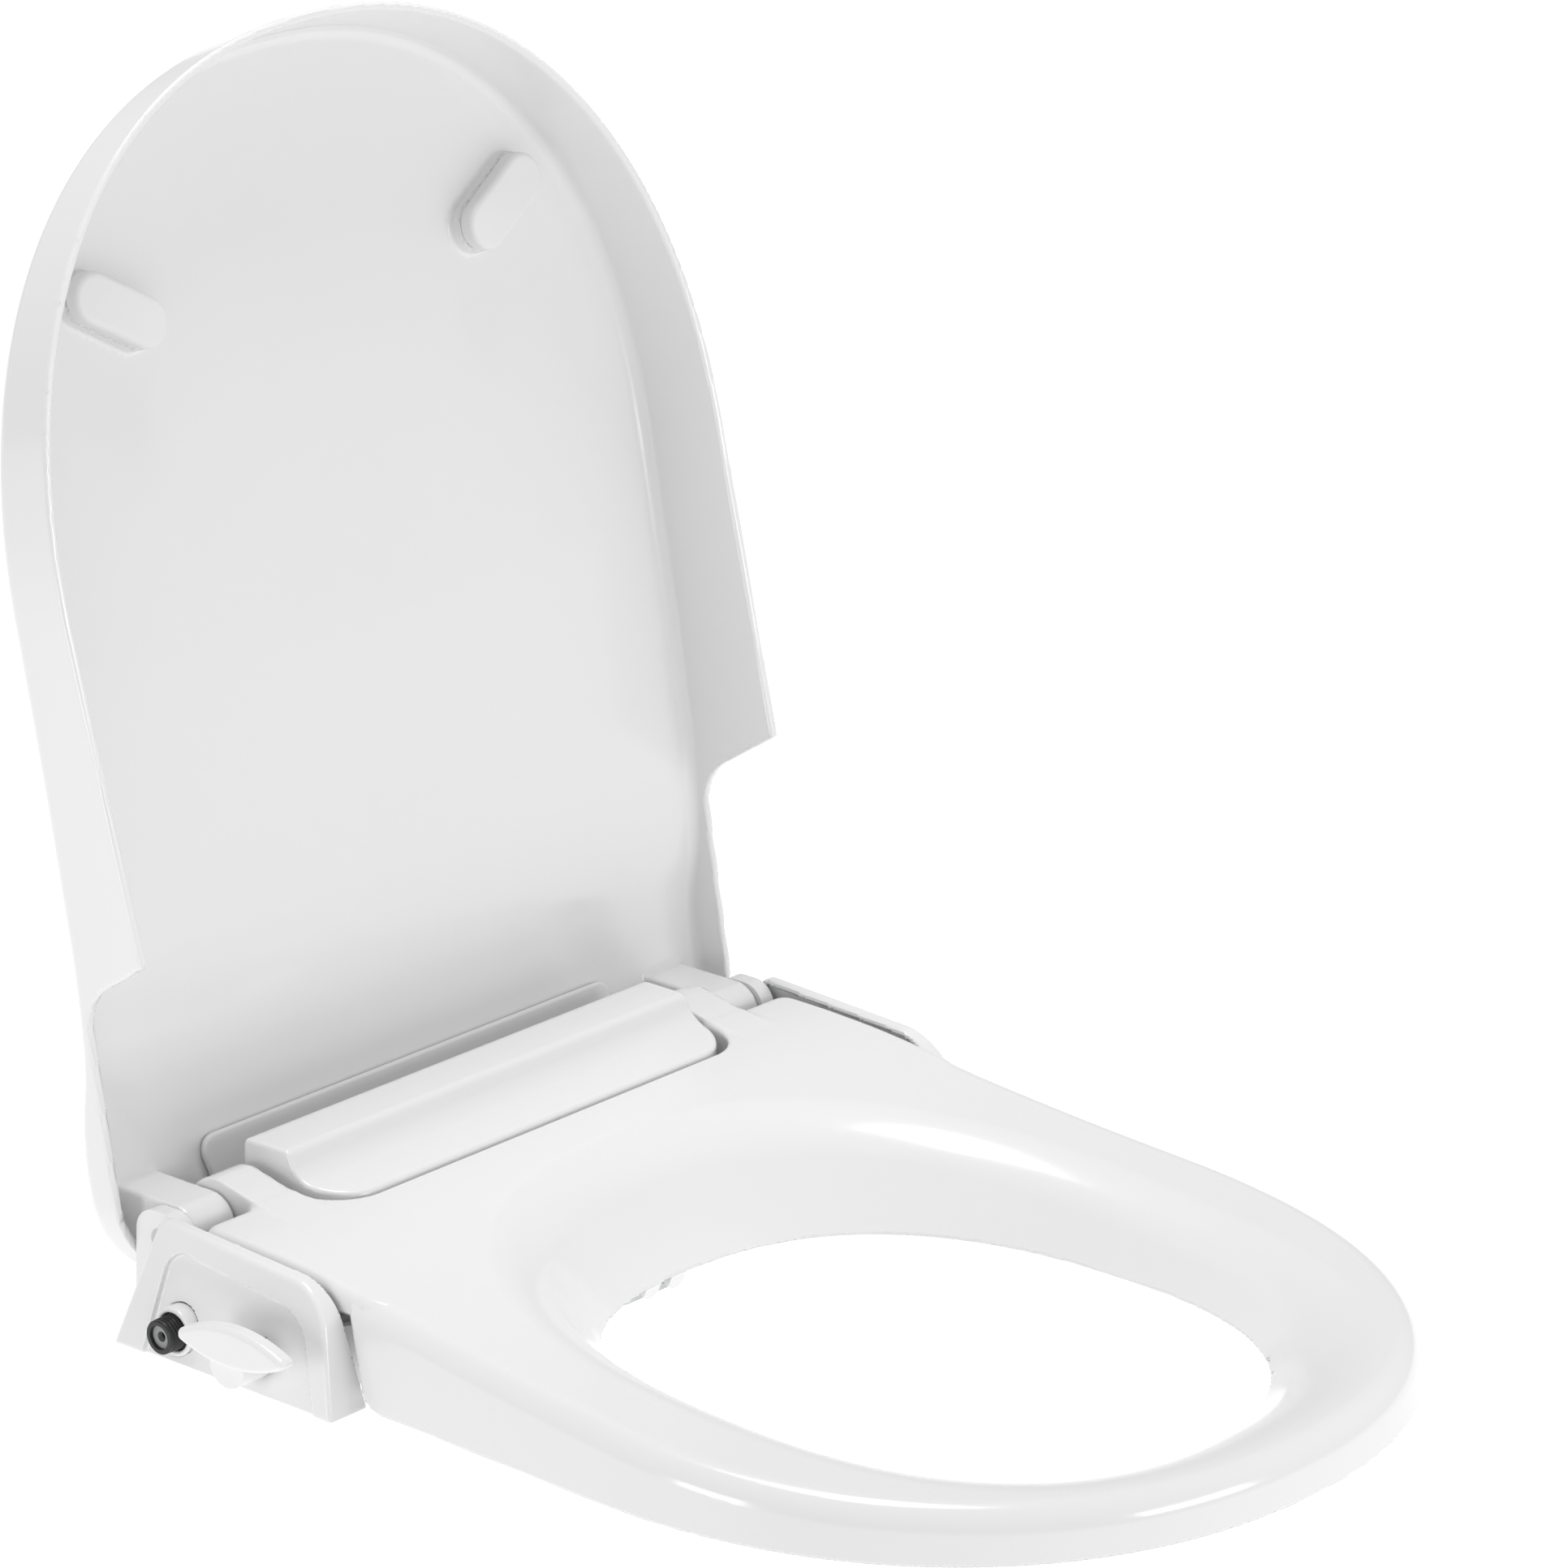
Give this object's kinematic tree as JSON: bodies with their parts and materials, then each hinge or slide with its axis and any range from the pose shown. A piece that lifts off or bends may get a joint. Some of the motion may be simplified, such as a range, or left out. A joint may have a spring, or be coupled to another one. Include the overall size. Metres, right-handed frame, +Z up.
{
  "type": "bidet toilet seat",
  "caption": "Lever-operated bidet toilet seat: fixed base with water valve, side lever and sliding nozzles under a hinged oval seat ring and a deep-skirted hinged lid.",
  "frame": {"origin": "midway between the two bowl bolts, on the plane of the bowl rim that the mounting plate rests on", "axes": "+Z up, away from the rim; -Y to the seat's front; +X to the right of a person sitting on the seat looking at it from the front, so the lever and water inlet are on the -X side"},
  "size_m": [0.3945, 0.5282, 0.5275],
  "materials": {
    "white_base": "gloss",
    "white_cover": "gloss",
    "grey_plate": "matte",
    "white_bolt": "matte",
    "black_rubber": "matte",
    "steel": "matte",
    "grey_pin": "matte",
    "dark_damper": "matte",
    "black_fitting": "matte",
    "pale_flange": "gloss",
    "grey_rubber": "matte",
    "grey_valve": "matte",
    "white_lever": "gloss",
    "white_nozzle": "gloss",
    "clear_hose": "matte",
    "white_seat": "gloss",
    "white_lid": "gloss",
    "white_bumper": "matte"
  },
  "bodies": {
    "base": {"base_housing": "white_base", "rear_cover": "white_cover", "left_side_cover": "white_cover", "right_side_cover": "white_cover", "mounting_plate": "grey_plate", "mounting_bolts": "white_bolt", "bolt_washers": "black_rubber", "bolt_nuts": "white_bolt", "base_screws": "steel", "base_foot_left": "black_rubber", "base_foot_right": "black_rubber", "hinge_pin_left": "grey_pin", "hinge_pin_right": "grey_pin", "seat_damper": "dark_damper", "lid_damper": "dark_damper", "inlet_fitting": "black_fitting", "inlet_flange": "pale_flange", "inlet_washer": "grey_rubber", "inlet_filter": "dark_damper", "valve_body": "grey_valve", "valve_seal": "black_rubber", "nozzle_housing": "grey_valve", "feed_hose_rear": "clear_hose", "feed_hose_front": "clear_hose"},
    "seat": {"seat_top": "white_seat", "seat_underside": "white_seat", "seat_bumper_front_left": "grey_rubber", "seat_bumper_front_right": "grey_rubber", "seat_bumper_rear_left": "grey_rubber", "seat_bumper_rear_right": "grey_rubber"},
    "lid": {"lid_shell": "white_lid", "lid_stiffener": "white_lid", "lid_bumper_left": "white_bumper", "lid_bumper_right": "white_bumper"},
    "lever": {"lever_handle": "white_lever", "valve_spindle": "grey_pin"},
    "nozzle_rear": {"nozzle_rear_wash": "white_nozzle"},
    "nozzle_front": {"nozzle_front_wash": "white_nozzle"}
  },
  "joints": [
    {"name": "seat_hinge", "type": "hinge", "parent": "base", "child": "seat", "pos_m": [0, 0, 0.039], "axis": [-1, 0, 0], "range_deg": [0, 100]},
    {"name": "lid_hinge", "type": "hinge", "parent": "base", "child": "lid", "pos_m": [0, 0, 0.039], "axis": [-1, 0, 0], "range_deg": [-103.6, 0]},
    {"name": "lever_turn", "type": "hinge", "parent": "base", "child": "lever", "pos_m": [-0.2, -0.068, 0.017], "axis": [1, 0, 0], "range_deg": [-45, 45]},
    {"name": "nozzle_rear_slide", "type": "slide", "parent": "base", "child": "nozzle_rear", "axis": [0, -0.9272, -0.3746], "range_m": [0, 0.06], "stiffness_N_per_m": 60, "springref_m": -0.005},
    {"name": "nozzle_front_slide", "type": "slide", "parent": "base", "child": "nozzle_front", "axis": [0, -0.9272, -0.3746], "range_m": [0, 0.06], "stiffness_N_per_m": 60, "springref_m": -0.005}
  ]
}
